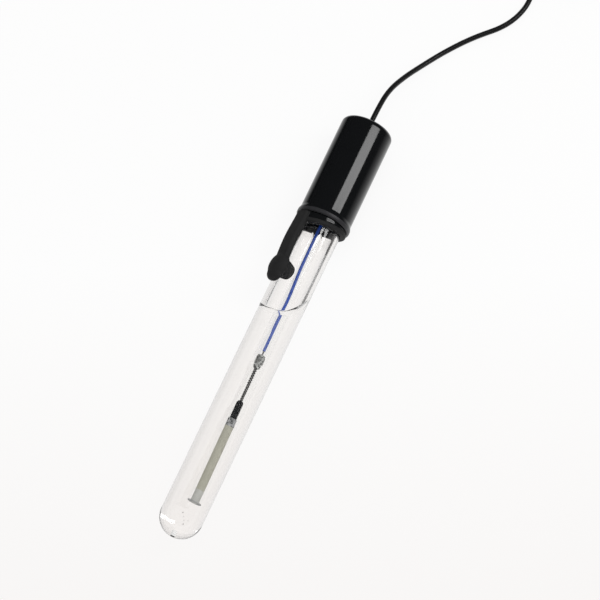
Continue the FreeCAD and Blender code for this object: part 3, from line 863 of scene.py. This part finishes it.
class MakeLiquid(bpy.types.Operator):
    """The clear electrolyte, with the air left above it"""

    bl_idname = "electrode.make_liquid"
    bl_label = "Electrolyte"

    def execute(self, context):
        outer, bore = glass_outside(), glass_inside()
        top = cap_mouth() + BUNG_ABOVE_MOUTH
        reach = bore + OVERLAP
        about = Matrix.Translation((0, 0, AIR_NOSE_Z))
        level = about @ Matrix.Rotation(-math.radians(AIR_TURN), 4, "X") @ about.inverted()
        liquid = piece(lathe((0.0, outer - reach), [
            (0.0, outer, 90), (reach, outer + 0.3), (reach, top), (0.0, top)]), "clear_liquid")
        dry = mm(sizes().tube_radius) - OVERLAP
        clearance = lathe((0.0, BORE_LIQUID_TOP_Z), [
            (dry, BORE_LIQUID_TOP_Z), (dry, top + 1), (0.0, top + 1)], steps=INNER_STEPS)
        carve(liquid, piece(clearance, "tube_hole", leaning()))
        carve(liquid, air_pocket(level))
        liquid.data.materials.append(clear_finish(
            "electrolyte_clear", (0.998, 0.998, 0.996), LIQUID_IOR))
        liquid.data.materials.append(clear_finish("meniscus", (0.99, 0.99, 0.99), LIQUID_IOR))
        for face in liquid.data.polygons:
            normal, spot = level.inverted().to_3x3() @ face.normal, face.center
            rounded = max(abs(normal.y), abs(normal.z)) < MENISCUS_FLAT
            within_bore = 1.7 < math.hypot(spot.x, spot.y) < bore - 0.03
            near_line = AIR_NOSE_Z - 1 < spot.z < top - 0.5
            face.material_index = 1 if rounded and within_bore and near_line else 0
        place_mesh(liquid, laid())
        unseen_by_light(liquid)
        settle(liquid, "clear_liquid", "electrolyte")
        return {"FINISHED"}


# ---------- Inner tube and element ----------

class MakeInnerTube(bpy.types.Operator):
    """The inner tube, wet below the liquid's line in its bore and dry above it"""

    bl_idname = "electrode.make_inner_tube"
    bl_label = "Inner tube"

    def execute(self, context):
        outer = mm(sizes().tube_radius)
        bore = outer - mm(sizes().tube_wall)
        half_wall = (outer - bore) / 2
        middle = bore + half_wall
        tube = lathe((bore, TUBE_END_Z + half_wall), [
            (middle, TUBE_END_Z + half_wall, 180), (outer, TUBE_END_Z + 0.6),
            (outer, BORE_LIQUID_TOP_Z), (outer, TUBE_TOP_Z), (bore, TUBE_TOP_Z),
            (bore, BORE_LIQUID_TOP_Z), (bore, TUBE_END_Z + 0.6)], closed=True, steps=64)
        for face in tube.faces:
            height = face.calc_center_median().z
            at_end = height < TUBE_END_Z + half_wall - 0.02
            face.material_index = 2 if at_end else 1 if height > BORE_LIQUID_TOP_Z else 0
        tint = (0.98, 0.985, 0.985)
        made = piece(tube, "element_tube", laid() @ leaning(),
                     clear_finish("wet_glass", tint, GLASS_IOR / LIQUID_IOR))
        made.data.materials.append(clear_finish("tube_glass", tint, GLASS_IOR))
        made.data.materials.append(finish(
            "ground_end", (0.42, 0.42, 0.415), tone=0.5, drift=1500.0, rough=0.7, grain=6000.0,
            bump=0.4))
        unseen_by_light(made)
        settle(made, "clear_glass", "inner_tube")
        return {"FINISHED"}


class MakeElement(bpy.types.Operator):
    """What fills the inner tube: fibre, paste, band, seal, strand and joint"""

    bl_idname = "electrode.make_element"
    bl_label = "Element"

    def execute(self, context):
        radius = FILL_RADIUS
        end = radius - 0.25
        self.filling(
            "fibre_end", "fibre", "fibre_plug", TUBE_END_Z,
            [(end, TUBE_END_Z), (end, TUBE_END_Z + 0.25, 90), (radius, ROD_Z), (0.0, ROD_Z)],
            finish("packed_fibre", colours().fibre, tone=0.3, drift=1500.0, rough=0.9,
                   grain=7000.0, bump=0.8, depth=0.00004))
        self.filling(
            "paste_column", "paste", "element_rod", ROD_Z,
            [(radius, ROD_Z), (radius, BAND_Z), (0.0, BAND_Z)],
            finish("khaki_paste", colours().paste, tone=0.25, drift=420.0, rough=0.75,
                   grain=5000.0, bump=0.5, depth=0.00003))
        self.filling(
            "dark_band", "dark_paste", "contact_band", BAND_Z,
            [(radius, BAND_Z), (radius, SLEEVE_Z), (0.0, SLEEVE_Z)],
            finish("granular_paste", colours().band, tone=0.8, drift=1800.0, rough=0.6,
                   bump=0.9, depth=0.00006, extra=grainy))
        top = SLEEVE_TOP_Z
        self.filling(
            "bullet_seal", "black_rubber", "seal_sleeve", SLEEVE_Z,
            [(0.7, SLEEVE_Z), (0.7, top - 1.0), (0.7, top - 0.8), (0.6, top - 0.3),
             (0.4, top - 0.06), (0.23, top), (0.23, top - 2), (0.0, top - 2)],
            finish("seal_black", colours().seal, rough=0.3, uneven=0.1, bump=0.1,
                   **{"Specular IOR Level": 0.1}), sharp=60.0)
        self.strand()
        low, top = JOINT_Z, JOINT_TOP_Z
        self.filling(
            "joint_lump", "solder", "solder_joint", low + 0.35,
            [(0.4, low + 0.4), (0.62, low + 0.6), (0.73, low + 1.0), (radius, low + 2.0),
             (radius, top - 0.8), (0.66, top - 0.2), (0.3, top), (0.0, top)],
            finish("dull_solder", colours().solder, tone=0.9, drift=1700.0, rough=0.35,
                   uneven=0.4, bump=0.9, depth=0.0001, extra=grainy, Metallic=0.15), sharp=70.0)
        self.grains()
        return {"FINISHED"}

    def filling(self, name, slot, node_name, start, moves, material, sharp=35.0):
        """A turned piece on the inner tube's axis, whose outline starts at a height."""
        shape = lathe((0.0, start), moves, steps=INNER_STEPS)
        settle(piece(shape, name, laid() @ leaning(), material, sharp), slot, node_name)

    def strand(self):
        """Three fine wires twisted round each other."""
        wire = finish("strand_metal", (0.13, 0.125, 0.12), tone=0.6, drift=1500.0, rough=0.35,
                      Metallic=0.3)
        low, high = SLEEVE_TOP_Z - WIRE_HELD, JOINT_Z + WIRE_HELD
        twisted = bmesh.new()
        turns = (high - low) / WIRE_PITCH
        for side in (0.0, 2 * math.pi / 3, 4 * math.pi / 3):
            ring = bmesh.ops.create_circle(twisted, segments=10, radius=WIRE_RADIUS)["verts"]
            stand = Matrix.Rotation(math.pi / 2, 4, "X")
            turn = Matrix.Rotation(side, 4, "Z") @ Matrix.Translation((WIRE_OFFSET, 0, low))
            bmesh.ops.transform(twisted, matrix=turn @ stand, verts=ring)
            edges = list({edge for vert in ring for edge in vert.link_edges})
            bmesh.ops.contextual_create(twisted, geom=edges)
            faces = list({face for vert in ring for face in vert.link_faces})
            bmesh.ops.spin(
                twisted, geom=ring + edges + faces, cent=(0, 0, 0), axis=(0, 0, 1),
                dvec=(0, 0, WIRE_PITCH / WIRE_STEPS), angle=2 * math.pi * turns,
                steps=int(WIRE_STEPS * turns))
        bmesh.ops.recalc_face_normals(twisted, faces=twisted.faces)
        settle(piece(twisted, "twisted_strand", laid() @ leaning(), wire), "grey_wire",
               "contact_strand")

    def grains(self):
        """Loose dark grains of the paste, sunk to the tip."""
        loose = bmesh.new()
        for across, height, size in LOOSE_GRAINS:
            grain = bmesh.ops.create_icosphere(loose, subdivisions=2, radius=size)["verts"]
            dome = GRAIN_BED_RADIUS ** 2 - min(height - glass_outside(), 0.0) ** 2
            spot = Matrix.Translation((across, -math.sqrt(dome - across ** 2), height))
            bmesh.ops.transform(loose, verts=grain,
                                matrix=spot @ Matrix.Diagonal((1.0, 0.6, 1.4, 1.0)))
        speck = finish("loose_paste", (0.09, 0.085, 0.07), tone=0.6, drift=2500.0, rough=0.7,
                       bump=0.6)
        settle(piece(loose, "loose_grains", laid(), speck), "dark_paste")


class MakeWire(bpy.types.Operator):
    """Blue inner lead, its bare end, the dark bung and the ceramic junction"""

    bl_idname = "electrode.make_wire"
    bl_label = "Inner lead, bung and junction"

    def execute(self, context):
        paint("lead_insulation", finish(
            "blue_insulation", colours().insulation, tone=0.35, drift=500.0, rough=0.35,
            bump=0.15, **{"Specular IOR Level": 0.25}))
        paint("lead_conductor", finish(
            "bare_conductor", (0.1, 0.085, 0.075), tone=0.4, rough=0.35, Metallic=0.4))
        paint("sealing_bung", finish(
            "bung_rubber", colours().bung, tone=0.4, rough=0.5, uneven=0.15, bump=0.3))
        paint("ceramic_junction", finish(
            "wet_ceramic", (0.97, 0.96, 0.945), tone=0.12, drift=1800.0, rough=0.6, bump=0.7,
            extra=darker_outer_end))
        return {"FINISHED"}


# ---------- Cap and filler sleeve ----------

class MakeCap(bpy.types.Operator):
    """The gloss black cap"""

    bl_idname = "electrode.make_cap"
    bl_label = "Cap"

    def execute(self, context):
        radius, ring = mm(sizes().cap_radius), mm(sizes().ring_radius)
        low = cap_mouth()
        high = low + mm(sizes().cap_length)
        socket = glass_outside() + 0.05
        ledge = low + SOCKET_DEPTH + 0.1
        band = low + RING_HEIGHT
        shoulder = high - CAP_TOP_ROUND
        shell = lathe((socket, low), [
            (ring - RING_ROUND, low), (ring - RING_ROUND, low + RING_ROUND, 90), (ring, band),
            (ring - 0.04, band + 0.3), (radius + 0.05, band + RING_FLARE - 0.2),
            (radius, band + RING_FLARE), (radius, band + RING_FLARE + 0.2),
            (radius, shoulder - 0.2), (radius, shoulder), (radius - CAP_TOP_ROUND, shoulder, 90),
            (2.0, high), (1.8, high - 0.2), (1.75, high - 0.5), (1.75, high - 3),
            (5.2, high - 3), (5.2, ledge), (socket, ledge)], closed=True, steps=128)
        for face in shell.faces:
            middle = face.calc_center_median()
            on_ring = middle.z < band and math.hypot(middle.x, middle.y) > ring - RING_ROUND - 0.05
            face.material_index = 1 if on_ring else 0
        gloss = finish("gloss_black", colours().cap, tone=0.2, rough=0.1, uneven=0.05, dust=0.06,
                       dust_scale=1300.0, grain=1200.0, bump=0.03)
        made = piece(shell, "cap_shell", laid(), gloss)
        # The ring's satin colour is lighter than the cap's: a painted reflection of the light its
        # rough face would catch
        made.data.materials.append(finish(
            "satin_black_painted_reflection", (0.03, 0.03, 0.033), tone=0.5, drift=900.0, rough=0.36, uneven=0.2,
            grain=2500.0, bump=0.3))
        settle(made, "black_plastic", "cap")
        return {"FINISHED"}


class MakeFillerSleeve(bpy.types.Operator):
    """Rubber collar, strap and stopper as one soft piece"""

    bl_idname = "electrode.make_filler_sleeve"
    bl_label = "Filler sleeve"

    def execute(self, context):
        whole = self.collar()
        for part in (self.strap(), self.head(), self.nub()):
            self.add(whole, part)
        sleeve = piece(whole, "rubber_filler_sleeve", stopper_side())
        one_skin(sleeve, SLEEVE_VOXEL)
        relax(sleeve, [math.inf] * SLEEVE_SOFT_ROUNDS)
        above_nub = mm(sizes().fill_hole_height) + HOLE_MARGIN
        press_out([vert for vert in sleeve.data.vertices if vert.co.z > above_nub],
                  glass_outside() + COLLAR_CLEARANCE)
        sleeve.data.materials.append(finish(
            "matt_rubber", colours().rubber, tone=0.3, drift=300.0, rough=0.7, uneven=0.15,
            grain=5000.0, bump=0.3, dust=0.05, depth=0.00003, **{"Specular IOR Level": 0.3}))
        sleeve.data.materials.append(finish(
            "polished_rubber", colours().cap, tone=0.3, drift=600.0, rough=0.16, uneven=0.08,
            grain=2500.0, bump=0.1))
        slope = math.tan(math.radians(FLANGE_TILT))
        flange_top = cap_mouth() - FLANGE_BELOW_MOUTH + FLANGE_HALF
        for face in sleeve.data.polygons:
            spot = stopper_side().inverted() @ face.center
            above_flange = spot.z > flange_top - slope * spot.x - 0.06
            on_neck = above_flange and math.hypot(spot.x, spot.y) < NECK_RADIUS + 0.08
            on_strap = spot.x > 0 and abs(spot.y) < STRAP_WIDTH / 2 + 0.15
            face.material_index = 1 if on_neck and not on_strap else 0
        place_mesh(sleeve, laid(), sharp=180.0)
        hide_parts("filler_collar", "filler_stopper")
        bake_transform(sleeve)
        return {"FINISHED"}

    def add(self, whole, part):
        mesh = bpy.data.meshes.new("part")
        part.to_mesh(mesh)
        part.free()
        whole.from_mesh(mesh)
        bpy.data.meshes.remove(mesh)

    def collar(self):
        """Neck under the cap, and the flange that the strap pulls down on its side."""
        inner = glass_outside() - 0.4
        middle = cap_mouth() - FLANGE_BELOW_MOUTH
        rim = FLANGE_RADIUS - FLANGE_ROUND
        collar = lathe((inner, -FLANGE_HALF), [
            (rim, -FLANGE_HALF), (rim, FLANGE_ROUND - FLANGE_HALF, 90),
            (FLANGE_RADIUS, FLANGE_HALF - FLANGE_ROUND), (rim, FLANGE_HALF - FLANGE_ROUND, 90),
            (inner, FLANGE_HALF)], closed=True)
        collar.transform(Matrix.Translation((0, 0, middle))
                         @ Matrix.Rotation(math.radians(FLANGE_TILT), 4, "Y"))
        neck = lathe((inner, 0.0), [(NECK_RADIUS, 0.0), (NECK_RADIUS, FLANGE_BELOW_MOUTH),
                                    (inner, FLANGE_BELOW_MOUTH)], closed=True)
        foot = [vert for vert in neck.verts if vert.co.z < FLANGE_BELOW_MOUTH / 2]
        slanted = Matrix.Identity(4)
        slanted[2][0] = -math.tan(math.radians(FLANGE_TILT))
        bmesh.ops.transform(neck, matrix=slanted, verts=foot)
        neck.transform(Matrix.Translation((0, 0, middle)))
        self.add(collar, neck)
        return collar

    def strap(self):
        """Flat strap from the collar to the grip head, bowed slightly outwards."""
        top = cap_mouth() - 0.3
        low = mm(sizes().fill_hole_height)
        strap = block((STRAP_MIDDLE, 0, (top + low) / 2),
                      (STRAP_THICKNESS, STRAP_WIDTH, top - low))
        for side, width in ((1, 0.85), (-1, 0.35)):
            corners = [edge for edge in self.lengthwise(strap) if all(
                (vert.co.x - STRAP_MIDDLE) * side > STRAP_THICKNESS / 2 - 0.05
                and abs(vert.co.y) > STRAP_WIDTH / 2 - 0.05 for vert in edge.verts)]
            round_edges(strap, corners, width, 6)
        bmesh.ops.subdivide_edges(strap, edges=self.lengthwise(strap), cuts=16,
                                  use_grid_fill=True)
        for vert in strap.verts:
            share = (vert.co.z - low) / (top - low)
            vert.co.x += STRAP_BOW * math.sin(math.pi * share) ** 2
        return strap

    def lengthwise(self, strap):
        return [edge for edge in strap.edges
                if abs(edge.verts[0].co.z - edge.verts[1].co.z) > 1]

    def head(self):
        """Oval grip head and its lower tab, lying on the glass."""
        head = bmesh.new()
        for length, width, thick, drop in HEAD_OVALS:
            oval = bmesh.ops.create_uvsphere(
                head, u_segments=48, v_segments=32, radius=0.5)["verts"]
            place = Matrix.Translation((STRAP_MIDDLE, 0, mm(sizes().fill_hole_height) - drop))
            bmesh.ops.transform(head, verts=oval,
                                matrix=place @ Matrix.Diagonal((thick, width, length, 1)))
        press_out(head.verts, glass_outside() + HEAD_CLEARANCE)
        return head

    def nub(self):
        """Tapered plug in the fill hole, full where it passes the glass."""
        bore = glass_inside()
        root = mm(sizes().fill_hole_radius) + 0.12
        end = bore - 2.4
        nub = lathe((0.0, end), [
            (1.8, end), (1.8, end + 0.4, 80), (root, bore - 0.3),
            (root, STRAP_MIDDLE), (0.0, STRAP_MIDDLE)], steps=64)
        nub.transform(Matrix.Translation((0, 0, mm(sizes().fill_hole_height)))
                      @ Matrix.Rotation(math.pi / 2, 4, "Y"))
        return nub


class FinishHiddenParts(bpy.types.Operator):
    """Finishes for the parts inside the cap"""

    bl_idname = "electrode.finish_hidden_parts"
    bl_label = "Parts in the cap"

    def execute(self, context):
        resin = finish("potting_resin", colours().resin, tone=0.4, rough=0.3, bump=0.3)
        dark = finish("grommet_rubber", colours().rubber, rough=0.6, bump=0.3)
        metal = finish("crimp_metal", (0.5, 0.5, 0.48), rough=0.3, Metallic=1.0)
        copper = finish("strand_copper", colours().copper, rough=0.35, Metallic=1.0)
        jacket = finish("entry_jacket", colours().jacket, rough=0.38, bump=0.2)
        for name, material in (("cap_potting", resin), ("cable_grommet", dark),
                               ("splice_sleeve", dark), ("cable_retainer", metal),
                               ("splice_ferrule", metal), ("cable_core", copper),
                               ("lead_entry", jacket)):
            paint(name, material)
        return {"FINISHED"}


# ---------- Stage ----------

class MakeStage(bpy.types.Operator):
    """Camera, pale floor and soft light"""

    bl_idname = "electrode.make_stage"
    bl_label = "Stage"

    def execute(self, context):
        scene = context.scene
        scene.view_settings.view_transform = "Standard"
        scene.cycles.max_bounces = scene.cycles.transmission_bounces = LIGHT_BOUNCES
        scene.cycles.glossy_bounces = LIGHT_BOUNCES
        self.camera(scene)
        self.floor()
        self.room(scene)
        self.strip(scene)
        self.overhead(scene)
        return {"FINISHED"}

    def camera(self, scene):
        stage = scene.electrode_stage
        up, turn = stage.camera_elevation, stage.camera_turn
        look = Vector((-math.cos(up) * math.sin(turn), math.cos(up) * math.cos(turn),
                       -math.sin(up)))
        data = bpy.data.cameras.new("camera")
        data.lens = stage.camera_lens
        data.sensor_width = SENSOR_MILLIMETRES
        data.clip_start, data.clip_end = CAMERA_CLIP
        camera = add_object("camera", data)
        camera.location = CAMERA_AIM - look * stage.camera_distance
        camera.rotation_mode = "QUATERNION"
        camera.rotation_quaternion = look.to_track_quat("-Z", "Y")
        scene.camera = camera

    def floor(self):
        """White, with painted shade that makes it a little greyer towards the view's lower edge.

        Plain reflections see it bright only in a band under and beside the electrode, and light
        through the glass sees it a little darker and warmer than the eye does.
        """
        made, tree = blank_material("pale_floor")
        path = node(tree, "ShaderNodeLightPath").outputs
        place = object_place(tree)
        down_the_view = node(tree, "ShaderNodeVectorMath", {
            0: place, 1: FLOOR_DOWN}, operation="DOT_PRODUCT").outputs["Value"]
        # Painted shade: the floor's glow greys towards the view's lower edge
        shown = mix_colours(tree, spread(tree, down_the_view, *FLOOR_FADE), FLOOR_FAR, FLOOR_NEAR_SHADED)
        side = part_of(tree, place, "X")
        positive = maths(tree, "MAXIMUM", side, 0.0001)
        right = maths(tree, "DIVIDE", BAND_RIGHT, positive, clamp=True)
        left = spread(tree, side, *BAND_LEFT)
        mirrored = maths(tree, "MULTIPLY", left, right)
        level = mix_numbers(tree, path["Is Glossy Ray"], 1.0, mirrored)
        through = maths(tree, "MULTIPLY_ADD", mirrored, *FLOOR_THROUGH)
        level = mix_numbers(tree, path["Is Transmission Ray"], level, through)
        shown = mix_colours(tree, path["Is Transmission Ray"], shown, FLOOR_THROUGH_TINT,
                            "MULTIPLY")
        matt = node(tree, "ShaderNodeBsdfDiffuse", {"Color": (*colours().floor, 1)})
        glow = node(tree, "ShaderNodeEmission", {"Color": shown, "Strength": level})
        bent = maths(tree, "MAXIMUM", path["Is Glossy Ray"], path["Is Transmission Ray"])
        straight = maths(tree, "MULTIPLY", path["Is Camera Ray"], FLOOR_GLOW)
        share = maths(tree, "MAXIMUM", straight, bent)
        both = node(tree, "ShaderNodeMixShader", {0: share, 1: matt.outputs[0], 2: glow.outputs[0]})
        put_out(tree, both.outputs[0])
        sheet = bmesh.new()
        bmesh.ops.create_grid(sheet, x_segments=1, y_segments=1, size=FLOOR_HALF)
        piece(sheet, "floor", Matrix.Translation((0, 0, -FLOOR_DROP)), made)

    def room(self, scene):
        """Even light on matt surfaces, and a white backdrop for the eye.

        Plain reflections see a dark ceiling. Light through the glass sees the room pale where it
        has crossed many surfaces or comes from low down, and dim elsewhere, so that what the
        glass and the liquid reflect doesn't veil the dark pieces inside them.
        """
        world = bpy.data.worlds.new("room")
        world.use_nodes = True
        tree = world.node_tree
        tree.nodes.clear()
        path = node(tree, "ShaderNodeLightPath").outputs
        height = part_of(tree, node(tree, "ShaderNodeTexCoord").outputs["Generated"], "Z")
        ceiling = spread(tree, height, 0.0, ROOM_HEIGHTS[0], *CEILING)
        plain = maths(tree, "SUBTRACT", path["Is Glossy Ray"], path["Is Transmission Ray"],
                      clamp=True)
        deep = spread(tree, path["Transmission Depth"], *ROOM_CROSSINGS)
        low = spread(tree, height, *ROOM_HEIGHTS, 1.0, 0.0)
        through = spread(tree, maths(tree, "MAXIMUM", deep, low), 0.0, 1.0, *ROOM_THROUGH)
        pale = maths(tree, "MAXIMUM", path["Is Camera Ray"], through)
        mirrored = mix_numbers(tree, plain, pale, ceiling)
        seen = maths(tree, "MAXIMUM", path["Is Camera Ray"], path["Is Glossy Ray"])
        seen = maths(tree, "MAXIMUM", seen, path["Is Transmission Ray"])
        strength = mix_numbers(tree, seen, scene.electrode_stage.ambient, mirrored)
        back = node(tree, "ShaderNodeBackground", {"Color": (1, 1, 1, 1), "Strength": strength})
        node(tree, "ShaderNodeOutputWorld", {"Surface": back.outputs[0]})
        scene.world = world

    def strip(self, scene):
        """A strip light square to the electrode: its reflection is the bright line on the cap."""
        stage = scene.electrode_stage
        axis = (laid() @ Vector((0, 0, 1)) - laid() @ Vector()).normalized()
        view = (scene.camera.location - STRIP_AIM).normalized()
        facing = (view - axis * view.dot(axis)).normalized()
        side = facing.cross(-axis)
        turn = math.radians(stage.strip_turn)
        across = -facing * math.sin(turn) + side * math.cos(turn)
        flat = (facing * math.cos(turn) + side * math.sin(turn)) * view.dot(facing)
        toward = (flat - axis * view.dot(axis)).normalized()
        up = toward.cross(across)
        data = bpy.data.lights.new("strip", "AREA")
        data.shape = "RECTANGLE"
        data.size, data.size_y = stage.strip_width, stage.strip_length
        data.energy = stage.strip_power
        place = Matrix.Translation(STRIP_AIM + toward * STRIP_DISTANCE + up * STRIP_RAISE)
        turned = Matrix((across, up, toward)).transposed().to_4x4()
        add_object("strip", data).matrix_world = place @ turned

    def overhead(self, scene):
        """Broad soft light from above, which reflections and the glass don't show."""
        data = bpy.data.lights.new("overhead", "AREA")
        data.shape = "DISK"
        data.size = OVERHEAD_SIZE
        data.energy = scene.electrode_stage.overhead_power
        lamp = add_object("overhead", data)
        lamp.location = OVERHEAD_PLACE
        lamp.rotation_mode = "QUATERNION"
        lamp.rotation_quaternion = (-lamp.location).to_track_quat("-Z", "Y")
        lamp.visible_glossy = False
        lamp.visible_transmission = False


# ---------- Add-on ----------

class ElectrodePanel(bpy.types.Panel):
    """The electrode's settings and pieces"""

    bl_idname = "VIEW3D_PT_electrode"
    bl_label = "Electrode"
    bl_space_type = "VIEW_3D"
    bl_region_type = "UI"
    bl_category = "Electrode"

    def draw(self, context):
        for name, group in SETTINGS.items():
            box = self.layout.box()
            for key in group.__annotations__:
                box.prop(getattr(context.scene, name), key)
        for step in STEPS:
            self.layout.operator(step.bl_idname)


SETTINGS = {"electrode_sizes": ElectrodeSizes, "electrode_colours": ElectrodeColours,
            "electrode_stage": ElectrodeStage}
STEPS = (MakeStage, MakeLead, MakePlug, MakeTies, DeclareLead, MakeGlass, MakeLiquid, MakeInnerTube,
         MakeElement, MakeWire, MakeCap, MakeFillerSleeve, FinishHiddenParts)
CLASSES = (*SETTINGS.values(), *STEPS, ElectrodePanel)


def register():
    for made in CLASSES:
        bpy.utils.register_class(made)
    for name, group in SETTINGS.items():
        setattr(bpy.types.Scene, name, bpy.props.PointerProperty(type=group))


def unregister():
    for name in SETTINGS:
        delattr(bpy.types.Scene, name)
    for made in reversed(CLASSES):
        bpy.utils.unregister_class(made)


def main():
    register()
    for step in STEPS:
        group, name = step.bl_idname.split(".")
        getattr(getattr(bpy.ops, group), name)()


if __name__ == "__main__":
    main()
